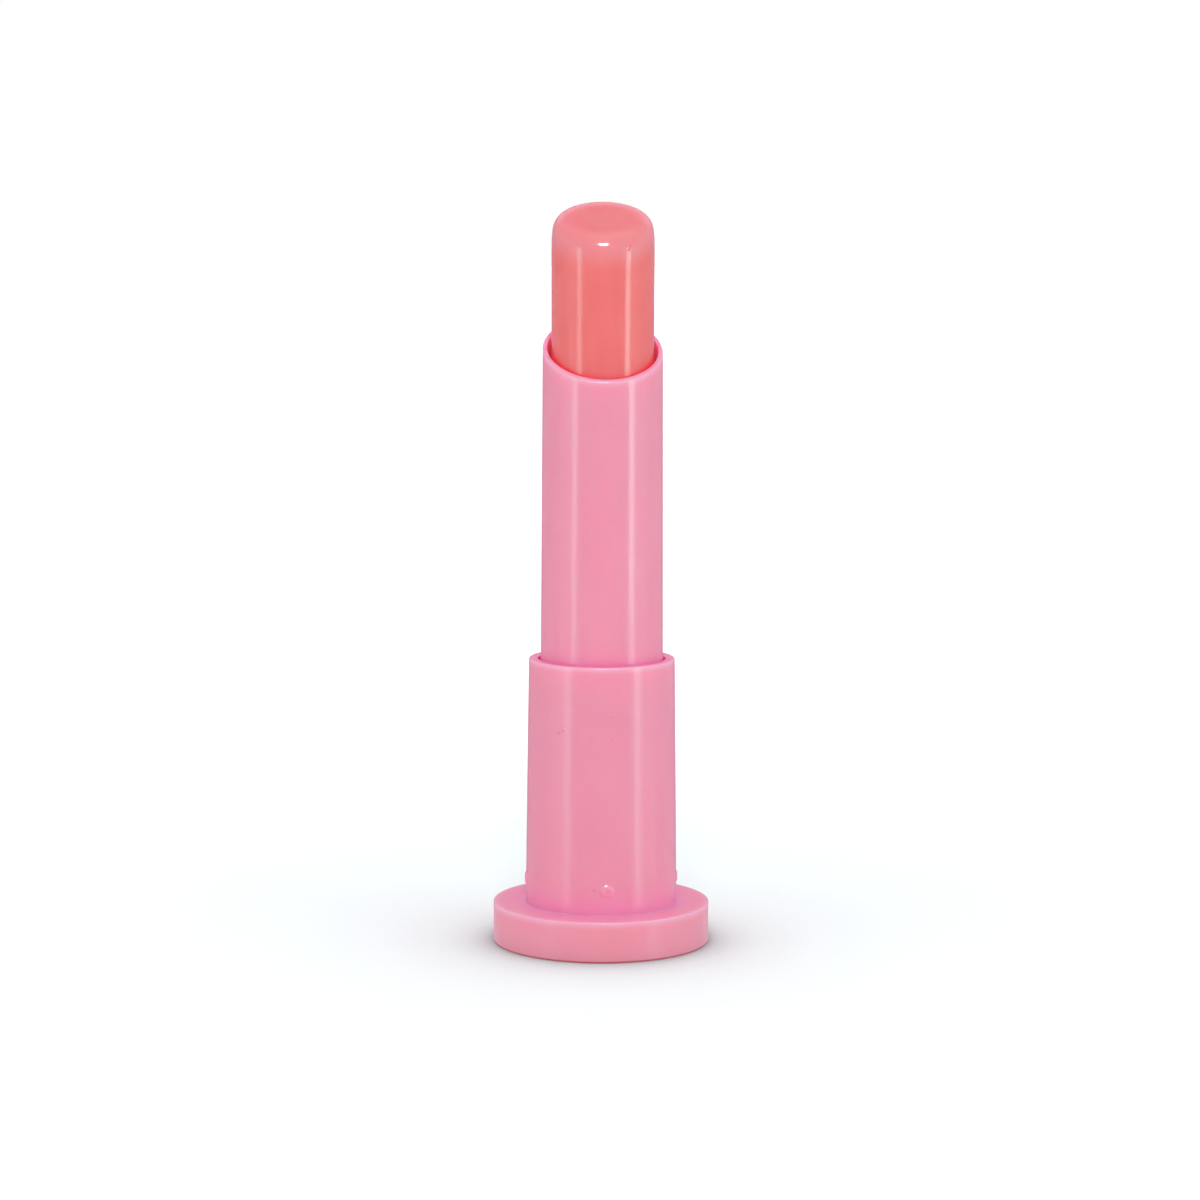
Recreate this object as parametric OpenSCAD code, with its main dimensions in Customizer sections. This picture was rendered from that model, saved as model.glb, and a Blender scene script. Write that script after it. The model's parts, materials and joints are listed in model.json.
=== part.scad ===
// A slim twist-up lip balm stick. Turning the sleeve in its base winds a balm
// bullet out of the sleeve. Millimetres, +Z up, origin at the middle of the
// foot's underside, both slanted faces low towards -Y, drawn fully wound out.

/* [Balm bullet] */
// Radius of the bullet
balm_r = 5.55; // [5:0.05:7]
// Slant of the bullet's face in degrees
tip_slant = 21.75; // [0:0.25:32]
// Rounding of the edge of the bullet's face
tip_round = 1.5; // [0.5:0.1:2.5]
// Turn of the bullet's slant from the sleeve's slant in degrees
tip_turn = -3.5; // [-15:0.5:15]
// Depth of the bullet's face under the sleeve's rim when wound down, on the axis
tip_hide = 3.2; // [2.5:0.1:8]

/* [Sleeve] */
// Gap between the bullet and the sleeve's bore
balm_gap = 0.42; // [0.3:0.02:0.8]
// Wall of the sleeve at its slanted rim
sleeve_rim_wall = 0.49; // [0.4:0.01:0.65]
// Wall of the sleeve where it comes out of the base tube
sleeve_foot_wall = 0.7; // [0.6:0.01:0.85]
// Wall of the sleeve's slotted part inside the base
sleeve_slot_wall = 0.55; // [0.45:0.01:0.6]
// Height of the sleeve's rim over the base tube's rim, on the axis
sleeve_show_h = 33.6; // [22:0.1:50]
// Slant of the sleeve's rim in degrees
rim_slant = 25.8; // [0:0.1:40]

/* [Base tube] */
// Gap between the sleeve and the base tube's lip
lip_gap = 0.29; // [0.15:0.01:0.4]
// Width of the base tube's rim
tube_rim_w = 1; // [0.95:0.05:1.6]
// Wall of the base tube at its foot
tube_foot_wall = 0.83; // [0.7:0.01:1.6]
// Height of the lip that keeps the sleeve in
lip_h = 2.15; // [1.2:0.05:4]
// Rounding of the rim's outer edge
rim_round = 0.2; // [0.1:0.05:0.8]
// Rounding of the rim's inner edge
lip_round = 0.1; // [0.05:0.01:0.14]

/* [Snap bumps] */
// Number of snap bumps round the base tube
bump_count = 4; // [2:1:8]
// Radius of a snap bump's foot
bump_r = 0.75; // [0.5:0.05:1.2]
// Height that a snap bump stands out of the tube
bump_proud = 0.2; // [0.1:0.02:0.4]
// Height of the snap bumps over the foot disc
bump_up = 2.6; // [1.4:0.1:5]

/* [Foot disc] */
// Width of the foot disc's ledge round the base tube
foot_ledge_w = 3.52; // [2:0.02:8]
// Thickness of the foot disc
foot_t = 4.4; // [4:0.1:8]
// Rounding of the foot disc's top edge
foot_top_round = 0.2; // [0.1:0.05:1]
// Rounding of the foot disc's bottom edge
foot_bottom_round = 0.1; // [0.1:0.05:0.6]
// Width of the ring that the foot disc stands on
foot_ring_w = 2.3; // [1:0.1:4]
// Depth of the hollow under the foot disc
foot_hollow_h = 0.3; // [0.1:0.1:0.8]
// Depth of the socket that holds the base tube
socket_h = 2.4; // [1.5:0.1:2.8]

/* [Twist mechanism] */
// Rise of the bullet from wound down to fully out
rise = 17.5; // [12:0.5:24]
// Rise in one turn of the sleeve
lead = 14; // [10:0.5:24]
// Radius of the carrier's lugs
lug_r = 0.85; // [0.6:0.05:1.1]
// Wall of the spiral tube
cam_wall = 0.82; // [0.7:0.02:1.2]
// Depth of the spiral tube's grooves
groove_depth = 0.52; // [0.4:0.02:0.6]
// Depth of the carrier's cup
cup_depth = 7.3; // [4:0.1:10]
// Wall of the carrier's cup
cup_wall = 0.46; // [0.35:0.01:0.7]
// Depth of the cup's rim under the lowest point of the sleeve's rim
cup_hide = 4.3; // [2.5:0.1:8]

/* [Hidden] */
$fn = 96;

// Colours as seen, and plain white for what is hidden
PINK = [0.93, 0.58, 0.68];
CORAL = [0.93, 0.47, 0.46];
WHITE = [0.92, 0.91, 0.89];
BLACK = [0.12, 0.12, 0.12];

// Overrun of a cut past the face that it opens
over = 0.5;
// Overlap that joins two shapes of one piece
root = 0.2;
// Gap between two pieces that are fixed together
fix_gap = 0.03;
// Gap between two pieces that turn or slide on each other
run_gap = 0.08;
// Steps in a rounded edge, and angle of one step along a groove
round_steps = 6;
groove_step_a = 9;
// Sides of the bullet's shown part
bullet_sides = 72;

// Height of the spigot that carries the spiral tube
spigot_h = 1.6;
// Height, width and number of the dogs that key the spiral tube
dog_h = 1.2;
dog_w = 2;
dog_count = 2;
// End play of the sleeve over the spigot
end_play = 0.3;
// Height of the closed ring under the sleeve's slots
slot_ring_h = 2.55;
// Gap between a lug and the sides and ends of its slot and groove
lug_side_gap = 0.15;
lug_end_gap = 0.4;
// Gap between a lug's tip and the floor of its groove
lug_tip_gap = 0.07;
// Height of the spiral tube over the lugs' highest place
cam_top_h = 1.15;
// Width of the ledge that holds the spiral tube down
ledge_w = 0.15;
// Play under, height, and gap round the sleeve's snap bead
bead_play = 0.2;
bead_h = 0.8;
bead_gap = 0.15;
// Gap round the drag ring, and its play along the axis
ring_gap = 0.035;
ring_play = 0.12;
// Half the height, and the wall, of the carrier's lug collar
collar_half_h = 1.5;
collar_wall = 0.9;
// Thickness of the carrier's stem ribs, and their step in from the bore
stem_t = 1;
stem_in = 0.2;
// Thickness of the carrier's floor
cup_floor_t = 1;
// Number, width and height of the grip ribs in the cup
grip_count = 6;
grip_w = 0.6;
grip_proud = 0.15;
// Gap between the bullet's shoulder and the cup's rim
shoulder_gap = 0.05;

// Radii, from the bullet outwards
sleeve_bore_r = balm_r + balm_gap;
carrier_r = sleeve_bore_r - run_gap;
cup_r = carrier_r - cup_wall;
core_r = cup_r - fix_gap;
slot_part_r = sleeve_bore_r + sleeve_slot_wall;
sleeve_foot_r = sleeve_bore_r + sleeve_foot_wall;
sleeve_rim_r = sleeve_bore_r + sleeve_rim_wall;
cam_bore_r = slot_part_r + run_gap;
groove_r = cam_bore_r + groove_depth;
lug_tip_r = groove_r - lug_tip_gap;
cam_r = cam_bore_r + cam_wall;
tube_bore_r = cam_r + fix_gap;
chamber_r = tube_bore_r - ledge_w;
bead_r = chamber_r - bead_gap;
lip_r = sleeve_foot_r + lip_gap;
tube_rim_r = lip_r + tube_rim_w;
tube_foot_r = tube_bore_r + tube_foot_wall;
spigot_r = tube_bore_r - fix_gap;
socket_r = tube_foot_r + fix_gap;
foot_r = tube_foot_r + foot_ledge_w;
foot_hollow_r = foot_r - foot_ring_w;
ring_r = (chamber_r - slot_part_r) / 2 - ring_gap;
ring_mid_r = (chamber_r + slot_part_r) / 2;

// Levels, from the ground up
seat_z = foot_t - socket_h;
spigot_z = seat_z + spigot_h;
sleeve_z = spigot_z + end_play;
slot_low_z = sleeve_z + slot_ring_h;
lug_low_z = slot_low_z + lug_end_gap + lug_r;
lug_z = lug_low_z + rise;
slot_high_z = lug_z + lug_r + lug_end_gap;
cam_high_z = lug_z + lug_r + cam_top_h;
ledge_z = cam_high_z + fix_gap;
bead_z = cam_high_z + bead_play;
ring_z = bead_z + bead_h + ring_play + ring_r;
lip_z = ring_z + ring_r + ring_play;
tube_rim_z = lip_z + lip_h;
sleeve_rim_z = tube_rim_z + sleeve_show_h;
sleeve_low_rim_z = sleeve_rim_z - sleeve_rim_r * tan(rim_slant);
sleeve_high_rim_z = sleeve_rim_z + sleeve_rim_r * tan(rim_slant);
tip_z = sleeve_rim_z - tip_hide + rise;
cup_rim_z = sleeve_low_rim_z - cup_hide;
cup_floor_z = cup_rim_z - cup_depth;
shoulder_z = cup_rim_z + shoulder_gap;
bump_z = foot_t + bump_up;

// Points of a rounded edge: part of a circle round c, from angle a0 to a1
function edge(c, r, a0, a1) = [
    for (i = [0 : round_steps])
        let (a = a0 + (a1 - a0) * i / round_steps)
        c + r * [cos(a), sin(a)]
];

// Outside radius of the base tube at height z
function tube_r_at(z) =
    tube_foot_r + (tube_rim_r - tube_foot_r) * (z - foot_t) / (tube_rim_z - rim_round - foot_t);

// Point of the bullet's rounded edge at angle a, from the side at share 0 to the slanted face at 1
function tip_point(a, share) =
    let (
        across_r = balm_r - tip_round,
        side = [cos(a), sin(a), 0],
        face = [sin(tip_slant) * sin(tip_turn), -sin(tip_slant) * cos(tip_turn), cos(tip_slant)],
        bend = acos(side * face),
        out = (sin(bend * (1 - share)) * side + sin(bend * share) * face) / sin(bend),
        climb = across_r * sin(a - tip_turn) * tan(tip_slant),
        ball_c = [across_r * cos(a), across_r * sin(a), tip_z - tip_round / cos(tip_slant) + climb]
    )
    ball_c + tip_round * out;

// Faces that close a stack of rings, each of n points
function stack_faces(rings, n) = concat(
    [[for (i = [0 : n - 1]) i]],
    [for (k = [0 : rings - 2], i = [0 : n - 1])
        let (j = (i + 1) % n)
        each [[k * n + i, (k + 1) * n + i, (k + 1) * n + j], [k * n + i, (k + 1) * n + j, k * n + j]]],
    [[for (i = [0 : n - 1]) rings * n - 1 - i]]
);

// Turned disc with a rounded rim, a socket for the base tube and two keying dogs
module foot_disc() {
    top_c = [foot_r - foot_top_round, foot_t - foot_top_round];
    bottom_c = [foot_r - foot_bottom_round, foot_bottom_round];
    color(PINK)
        union() {
            rotate_extrude()
                polygon(concat(
                    [[0, foot_hollow_h], [foot_hollow_r, foot_hollow_h], [foot_hollow_r, 0]],
                    edge(bottom_c, foot_bottom_round, -90, 0),
                    edge(top_c, foot_top_round, 0, 90),
                    [[socket_r, foot_t], [socket_r, seat_z], [spigot_r, seat_z],
                     [spigot_r, spigot_z], [0, spigot_z]]
                ));
            intersection() {
                dog_ring(spigot_z - root, dog_h + root, cam_bore_r + run_gap, spigot_r);
                dog_bars(spigot_z - root, dog_h + root, dog_w);
            }
        }
}

// Ring between two radii
module dog_ring(z, h, inner_r, outer_r) {
    translate([0, 0, z])
        difference() {
            cylinder(r = outer_r, h = h);
            translate([0, 0, -over])
                cylinder(r = inner_r, h = h + 2 * over);
        }
}

// Bars from the axis outwards, the first one towards -Y
module dog_bars(z, h, w) {
    for (i = [0 : dog_count - 1])
        rotate(360 * i / dog_count)
            translate([-w / 2, -cam_r - over, z])
                cube([w, cam_r + over, h]);
}

// Tapered tube with a lip at its rim and round bumps near its foot
module base_tube() {
    rim_c = [tube_rim_r - rim_round, tube_rim_z - rim_round];
    lip_c = [lip_r + lip_round, tube_rim_z - lip_round];
    color(PINK)
        union() {
            rotate_extrude()
                polygon(concat(
                    [[tube_bore_r, seat_z], [tube_foot_r, seat_z], [tube_foot_r, foot_t]],
                    edge(rim_c, rim_round, 0, 90),
                    edge(lip_c, lip_round, 90, 180),
                    [[lip_r, lip_z], [chamber_r, lip_z], [chamber_r, ledge_z], [tube_bore_r, ledge_z]]
                ));
            difference() {
                snap_bumps();
                translate([0, 0, seat_z])
                    cylinder(r = tube_bore_r + tube_foot_wall / 2, h = tube_rim_z - seat_z);
            }
        }
}

// Caps of spheres that stand out of the base tube
module snap_bumps() {
    ball_r = (bump_r * bump_r + bump_proud * bump_proud) / (2 * bump_proud);
    for (i = [0 : bump_count - 1])
        rotate(360 * i / bump_count)
            translate([tube_r_at(bump_z) + bump_proud - ball_r, 0, bump_z])
                sphere(r = ball_r);
}

// Fixed tube whose two helical grooves carry the lugs
module spiral_tube() {
    color(WHITE)
        difference() {
            dog_ring(spigot_z, cam_high_z - spigot_z, cam_bore_r, cam_r);
            dog_bars(spigot_z - over, dog_h + fix_gap + over, dog_w + 2 * run_gap);
            for (start = [0, 180])
                helical_groove(start);
        }
}

// One groove: a square bar swept along a right-hand helix through the lug's travel
module helical_groove(start) {
    climb_a = atan(lead / (2 * PI * cam_bore_r));
    half_h = (lug_r + lug_side_gap) / cos(climb_a);
    end_a = atan((lug_r + lug_side_gap) / cam_bore_r);
    low_a = -360 * rise / lead - end_a;
    steps = ceil((end_a - low_a) / groove_step_a);
    inner_r = cam_bore_r - over;
    corners = [[inner_r, -half_h], [inner_r, half_h], [groove_r, half_h], [groove_r, -half_h]];
    points = [
        for (i = [0 : steps])
            let (a = low_a + (end_a - low_a) * i / steps)
            for (c = corners)
                [c[0] * cos(start + a), c[0] * sin(start + a), lug_z + lead * a / 360 + c[1]]
    ];
    polyhedron(points = points, faces = stack_faces(steps + 1, len(corners)));
}

// Long sleeve: slotted inside the base, tapered above it, with a slanted rim
module guide_sleeve() {
    slot_w = 2 * (lug_r + lug_side_gap);
    color(PINK)
        difference() {
            rotate_extrude()
                polygon([
                    [sleeve_bore_r, sleeve_z], [slot_part_r, sleeve_z],
                    [slot_part_r, bead_z], [bead_r, bead_z],
                    [bead_r, bead_z + bead_h], [slot_part_r, bead_z + bead_h],
                    [slot_part_r, lip_z], [sleeve_foot_r, lip_z],
                    [sleeve_rim_r, sleeve_high_rim_z + over], [sleeve_bore_r, sleeve_high_rim_z + over]
                ]);
            translate([0, 0, sleeve_rim_z])
                rotate([rim_slant, 0, 0])
                    translate([-sleeve_high_rim_z, -sleeve_high_rim_z, 0])
                        cube([2 * sleeve_high_rim_z, 2 * sleeve_high_rim_z, sleeve_high_rim_z]);
            translate([-bead_r, -slot_w / 2, slot_low_z])
                cube([2 * bead_r, slot_w, slot_high_z - slot_low_z]);
        }
}

// Cup on a cross-ribbed stem, with a collar that carries the two lugs
module carrier_cup() {
    collar_z = lug_z - collar_half_h;
    floor_low_z = cup_floor_z - cup_floor_t;
    stem_r = carrier_r - stem_in;
    color(WHITE)
        union() {
            dog_ring(collar_z, 2 * collar_half_h, carrier_r - collar_wall, carrier_r);
            intersection() {
                translate([0, 0, collar_z])
                    cylinder(r = stem_r, h = floor_low_z - collar_z + root);
                union() {
                    translate([-carrier_r, -stem_t / 2, collar_z])
                        cube([2 * carrier_r, stem_t, floor_low_z - collar_z + root]);
                    translate([-stem_t / 2, -carrier_r, collar_z])
                        cube([stem_t, 2 * carrier_r, floor_low_z - collar_z + root]);
                }
            }
            difference() {
                translate([0, 0, floor_low_z])
                    cylinder(r = carrier_r, h = cup_rim_z - floor_low_z);
                translate([0, 0, cup_floor_z])
                    cylinder(r = cup_r, h = cup_depth + over);
            }
            grip_ribs(0);
            intersection() {
                translate([-lug_tip_r - over, 0, lug_z])
                    rotate([0, 90, 0])
                        cylinder(r = lug_r, h = 2 * (lug_tip_r + over));
                dog_ring(lug_z - lug_r - over, 2 * (lug_r + over), carrier_r - collar_wall / 2, lug_tip_r);
            }
        }
}

// Upright ribs round the inside of the cup, grown by a gap where they are cut out of the bullet
module grip_ribs(gap) {
    inner_r = cup_r - grip_proud - gap;
    for (i = [0 : grip_count - 1])
        rotate(360 * (i + 1 / 2) / grip_count)
            translate([inner_r, -grip_w / 2 - gap, cup_floor_z - root])
                cube([cup_r + cup_wall / 2 - inner_r, grip_w + 2 * gap, cup_depth / 2 + root + gap]);
}

// Wax bullet: a round core in the cup, and above it the shown part with its slanted face
module balm_stick() {
    angles = [for (i = [0 : bullet_sides - 1]) 360 * i / bullet_sides];
    points = concat(
        [for (a = angles) [balm_r * cos(a), balm_r * sin(a), shoulder_z]],
        [for (k = [0 : round_steps], a = angles) tip_point(a, k / round_steps)]
    );
    color(CORAL)
        union() {
            difference() {
                translate([0, 0, cup_floor_z + fix_gap])
                    cylinder(r = core_r, h = shoulder_z - cup_floor_z - fix_gap + root);
                grip_ribs(fix_gap);
            }
            polyhedron(points = points, faces = stack_faces(round_steps + 2, bullet_sides));
        }
}

// Rubber ring that gives the twist its drag
module drag_ring() {
    color(BLACK)
        rotate_extrude()
            translate([ring_mid_r, ring_z])
                circle(r = ring_r);
}

foot_disc();
base_tube();
spiral_tube();
guide_sleeve();
carrier_cup();
balm_stick();
drag_ring();
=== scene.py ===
# %% [markdown]
# # A twist-up lip balm stick
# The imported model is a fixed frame: every piece below goes where the frame already has that part, at its
# real size. The frame's shapes are right but plain, so the four pieces that show are turned again with
# finer edges, and the three that are hidden keep their frame meshes and only get a finish.

# %% Load the frame
import json
import math

import bmesh
import bpy
from mathutils import Matrix, Vector, noise
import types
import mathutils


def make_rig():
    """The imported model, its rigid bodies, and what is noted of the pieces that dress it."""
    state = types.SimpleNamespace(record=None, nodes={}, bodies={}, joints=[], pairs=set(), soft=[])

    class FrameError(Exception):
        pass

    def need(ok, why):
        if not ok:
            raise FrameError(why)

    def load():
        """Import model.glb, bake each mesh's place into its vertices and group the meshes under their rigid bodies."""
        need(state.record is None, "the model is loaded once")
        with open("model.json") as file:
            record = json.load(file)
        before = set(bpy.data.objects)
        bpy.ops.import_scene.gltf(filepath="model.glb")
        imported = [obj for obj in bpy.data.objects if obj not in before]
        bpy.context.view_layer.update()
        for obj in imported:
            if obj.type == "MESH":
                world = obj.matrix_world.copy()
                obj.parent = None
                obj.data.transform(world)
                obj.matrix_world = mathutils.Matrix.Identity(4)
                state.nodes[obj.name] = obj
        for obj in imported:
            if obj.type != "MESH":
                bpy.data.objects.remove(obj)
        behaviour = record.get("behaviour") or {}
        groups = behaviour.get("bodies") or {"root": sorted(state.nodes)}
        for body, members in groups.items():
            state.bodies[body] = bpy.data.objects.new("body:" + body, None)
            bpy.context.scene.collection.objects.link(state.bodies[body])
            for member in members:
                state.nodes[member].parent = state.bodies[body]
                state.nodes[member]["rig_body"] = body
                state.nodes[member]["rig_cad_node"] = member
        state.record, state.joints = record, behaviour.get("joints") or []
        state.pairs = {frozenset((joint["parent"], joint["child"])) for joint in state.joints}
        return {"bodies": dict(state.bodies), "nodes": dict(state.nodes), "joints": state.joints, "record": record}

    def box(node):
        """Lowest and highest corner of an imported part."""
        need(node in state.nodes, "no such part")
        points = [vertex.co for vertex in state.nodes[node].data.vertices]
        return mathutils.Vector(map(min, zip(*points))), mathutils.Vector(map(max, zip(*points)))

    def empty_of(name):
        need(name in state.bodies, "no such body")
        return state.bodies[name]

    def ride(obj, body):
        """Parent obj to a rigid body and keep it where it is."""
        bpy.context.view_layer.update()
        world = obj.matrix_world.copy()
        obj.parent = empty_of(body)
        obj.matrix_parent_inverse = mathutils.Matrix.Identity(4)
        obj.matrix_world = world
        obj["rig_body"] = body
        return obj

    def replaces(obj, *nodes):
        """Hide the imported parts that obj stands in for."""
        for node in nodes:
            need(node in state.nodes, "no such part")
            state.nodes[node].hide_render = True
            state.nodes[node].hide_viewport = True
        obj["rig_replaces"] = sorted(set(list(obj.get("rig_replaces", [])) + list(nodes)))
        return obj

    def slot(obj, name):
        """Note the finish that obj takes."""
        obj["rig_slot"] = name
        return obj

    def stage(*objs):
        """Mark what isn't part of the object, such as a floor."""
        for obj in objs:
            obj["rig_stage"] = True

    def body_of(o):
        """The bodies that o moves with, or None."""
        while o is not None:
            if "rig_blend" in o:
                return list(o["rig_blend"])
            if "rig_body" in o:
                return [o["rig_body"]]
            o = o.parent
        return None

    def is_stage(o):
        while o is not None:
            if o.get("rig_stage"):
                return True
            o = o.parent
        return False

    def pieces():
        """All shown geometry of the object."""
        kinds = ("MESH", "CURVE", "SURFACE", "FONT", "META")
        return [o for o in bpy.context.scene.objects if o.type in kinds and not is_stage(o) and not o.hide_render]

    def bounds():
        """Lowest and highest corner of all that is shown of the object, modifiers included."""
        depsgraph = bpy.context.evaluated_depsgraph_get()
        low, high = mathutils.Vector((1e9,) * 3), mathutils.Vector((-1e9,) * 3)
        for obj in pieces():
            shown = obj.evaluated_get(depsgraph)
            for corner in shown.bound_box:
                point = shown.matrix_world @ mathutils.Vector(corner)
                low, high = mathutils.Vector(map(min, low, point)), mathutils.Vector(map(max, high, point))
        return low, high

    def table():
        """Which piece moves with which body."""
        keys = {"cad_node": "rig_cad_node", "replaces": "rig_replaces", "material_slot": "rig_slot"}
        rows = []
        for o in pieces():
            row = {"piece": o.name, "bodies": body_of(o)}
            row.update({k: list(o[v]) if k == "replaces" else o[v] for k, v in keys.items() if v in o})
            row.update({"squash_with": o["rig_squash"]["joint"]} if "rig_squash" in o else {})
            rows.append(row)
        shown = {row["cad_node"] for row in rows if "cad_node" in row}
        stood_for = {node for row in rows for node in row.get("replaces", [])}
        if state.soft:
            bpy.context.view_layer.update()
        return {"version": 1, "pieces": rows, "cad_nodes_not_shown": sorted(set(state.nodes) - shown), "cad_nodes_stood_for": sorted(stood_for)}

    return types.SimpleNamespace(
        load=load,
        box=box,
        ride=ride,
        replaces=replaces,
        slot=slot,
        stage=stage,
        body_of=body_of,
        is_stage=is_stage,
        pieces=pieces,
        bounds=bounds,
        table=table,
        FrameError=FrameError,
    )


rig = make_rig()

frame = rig.load()
frame_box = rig.bounds()
MM = 0.001
nodes = frame["nodes"]


def frame_mm(node):
    """The lowest and highest corner of a frame node, in millimetres."""
    return [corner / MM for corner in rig.box(node)]


for node in sorted(nodes):
    low, high = frame_mm(node)
    print(f"{node}: {high.x - low.x:.2f} mm wide, z {low.z:.2f} to {high.z:.2f} mm")

# %% [markdown]
# ## Turning a piece
# All four shown pieces are round, as they come out of round mould cavities. A round piece is easiest to
# make as a lathe makes it: a few corners of its outline, spun about the axis. The edges are left sharp
# at first, because a bevel on a full ring of edges gives a true round of a known radius.

# %% The lathe
SPIN_STEPS = 160
TOUCH = 0.002 * MM
SAME_WAY = 0.99


def turned(outline, steps=SPIN_STEPS):
    """A mesh spun about the stick's axis from an outline of (radius, height) corners in millimetres."""
    bm = bmesh.new()
    corners = [bm.verts.new((r * MM, 0, z * MM)) for r, z in outline]
    pairs = zip(corners, corners[1:] + corners[:1])
    lines = [bm.edges.new(pair) for pair in pairs if max(v.co.x for v in pair) > 0]
    bmesh.ops.spin(
        bm, geom=corners + lines, cent=(0, 0, 0), axis=(0, 0, 1), angle=math.tau, steps=steps, use_merge=True
    )
    bmesh.ops.remove_doubles(bm, verts=bm.verts, dist=TOUCH)
    bmesh.ops.recalc_face_normals(bm, faces=bm.faces)
    return bm


def ring_at(bm, radius, height):
    """The edges of the circle at that radius and height, in millimetres."""
    def on_circle(v):
        return abs(v.co.xy.length - radius * MM) < TOUCH and abs(v.co.z - height * MM) < TOUCH

    return [e for e in bm.edges if on_circle(e.verts[0]) and on_circle(e.verts[1])]


def rim_of_cut(bm, point, normal):
    """The edges between a flat cut and the walls round it."""
    def in_cut(v):
        return abs((v.co - point).dot(normal)) < TOUCH

    def has_wall(e):
        return any(f.normal.dot(normal) < SAME_WAY for f in e.link_faces)

    return [e for e in bm.edges if in_cut(e.verts[0]) and in_cut(e.verts[1]) and has_wall(e)]


def cut_off_above(bm, point, normal):
    """Cuts everything away on the side of a plane that its normal points to."""
    everything = bm.verts[:] + bm.edges[:] + bm.faces[:]
    bmesh.ops.bisect_plane(bm, geom=everything, plane_co=point, plane_no=normal, clear_outer=True)


def round_over(bm, edges, radius, segments=6):
    """Rounds edges with a radius in millimetres."""
    bmesh.ops.bevel(
        bm, geom=edges, offset=radius * MM, segments=segments, profile=0.5, affect="EDGES", material=-1,
        clamp_overlap=True,
    )


print("the lathe turns in", SPIN_STEPS, "steps")

# %% [markdown]
# Some shapes need a modifier's own way of working: a boolean, or a bevel that changes along an edge. A
# modifier works on an object, so the bmesh becomes one for a moment, and the result is read back.

# %% Modifiers on a bmesh
def as_object(bm, name):
    """Puts a bmesh into the scene as an object."""
    mesh = bpy.data.meshes.new(name)
    bm.to_mesh(mesh)
    bm.free()
    made = bpy.data.objects.new(name, mesh)
    bpy.context.scene.collection.objects.link(made)
    return made


def discard(scrap):
    """Takes a helper object and its mesh away again."""
    mesh = scrap.data
    bpy.data.objects.remove(scrap)
    bpy.data.meshes.remove(mesh)


def modified(bm, kind, **settings):
    """The bmesh after a modifier, as a new bmesh."""
    blank = as_object(bm, "blank")
    modifier = blank.modifiers.new("shape", kind)
    for setting, value in settings.items():
        setattr(modifier, setting, value)
    bpy.context.view_layer.update()
    result = bmesh.new()
    result.from_mesh(blank.evaluated_get(bpy.context.evaluated_depsgraph_get()).to_mesh())
    discard(blank)
    return result


def joined(bm, tool, operation):
    """The bmesh with another one added to it or cut out of it, as a new bmesh."""
    tool_object = as_object(tool, "tool")
    result = modified(bm, "BOOLEAN", object=tool_object, operation=operation, solver="EXACT")
    discard(tool_object)
    return result


print("a modifier's result is read back from a helper object")

# %% [markdown]
# A turned piece has long, tall faces next to the tiny ones of its bevels. Plain smooth shading would
# smear the bevel's light far down the wall. Weighted normals keep the big faces straight, and edges
# sharper than a bevel step stay crisp.

# %% From a bmesh to a finished piece
CRISP_ANGLE = math.radians(40)


def as_piece(bm, name, body, slot, node=None):
    """Makes the object, lets it ride on its body, and lets it stand for its frame node."""
    piece = as_object(bm, name)
    mesh = piece.data
    mesh.polygons.foreach_set("use_smooth", [True] * len(mesh.polygons))
    mesh.set_sharp_from_angle(angle=CRISP_ANGLE)
    even = piece.modifiers.new("even_shading", "WEIGHTED_NORMAL")
    even.mode = "FACE_AREA"
    even.weight = 100
    even.keep_sharp = True
    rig.ride(piece, body)
    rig.slot(piece, slot)
    if node:
        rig.replaces(piece, node)
    print(f"{name}: {len(mesh.vertices)} points, {len(mesh.polygons)} faces")
    return piece


print("edges stay crisp from", round(math.degrees(CRISP_ANGLE)), "degrees")

# %% [markdown]
# ## The foot disc
# The foot is a thick moulded disc. Its top edge is rounded more than its bottom edge, it stands on a
# ring round a shallow hollow, and a socket in its top holds the base tube. In the middle of the hollow
# a mould leaves a low gate mark, inside a small dimple so that it never touches the table.

# %% Foot disc
FOOT_T = 4.4
FOOT_TOP_ROUND, FOOT_BOTTOM_ROUND = 0.12, 0.15
FOOT_RING_W, RING_ROUND = 2.3, 0.1
HOLLOW_H = 0.3
GATE_DIMPLE_R, GATE_DIMPLE_H, DIMPLE_ROUND = 1.6, 0.55, 0.08
GATE_R, GATE_H = 0.5, 0.4
SEAT_Z, SPIGOT_Z = 2.0, 3.6
SOCKET_R, SPIGOT_R = 8.31, 7.42

foot_r = frame_mm("foot_disc")[1].x
hollow_r = foot_r - FOOT_RING_W
foot = turned([
    (0, GATE_H), (GATE_R, GATE_H), (GATE_R, GATE_DIMPLE_H), (GATE_DIMPLE_R, GATE_DIMPLE_H),
    (GATE_DIMPLE_R, HOLLOW_H), (hollow_r, HOLLOW_H), (hollow_r, 0), (foot_r, 0), (foot_r, FOOT_T),
    (SOCKET_R, FOOT_T), (SOCKET_R, SEAT_Z), (SPIGOT_R, SEAT_Z), (SPIGOT_R, SPIGOT_Z), (0, SPIGOT_Z),
])
round_over(foot, ring_at(foot, foot_r, FOOT_T), FOOT_TOP_ROUND, segments=8)
round_over(foot, ring_at(foot, foot_r, 0), FOOT_BOTTOM_ROUND)
round_over(foot, ring_at(foot, hollow_r, 0), RING_ROUND, segments=3)
round_over(foot, ring_at(foot, GATE_DIMPLE_R, HOLLOW_H), DIMPLE_ROUND, segments=3)
foot_plate = as_piece(foot, "foot_plate", "base", "foot_plastic", "foot_disc")

# %% [markdown]
# ## The base tube
# The base tube narrows a little towards its rim, so that it leaves its mould, and its rim is thick and
# flat. The rim's inner edge is nearly sharp, because the sleeve slides past it.

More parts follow.
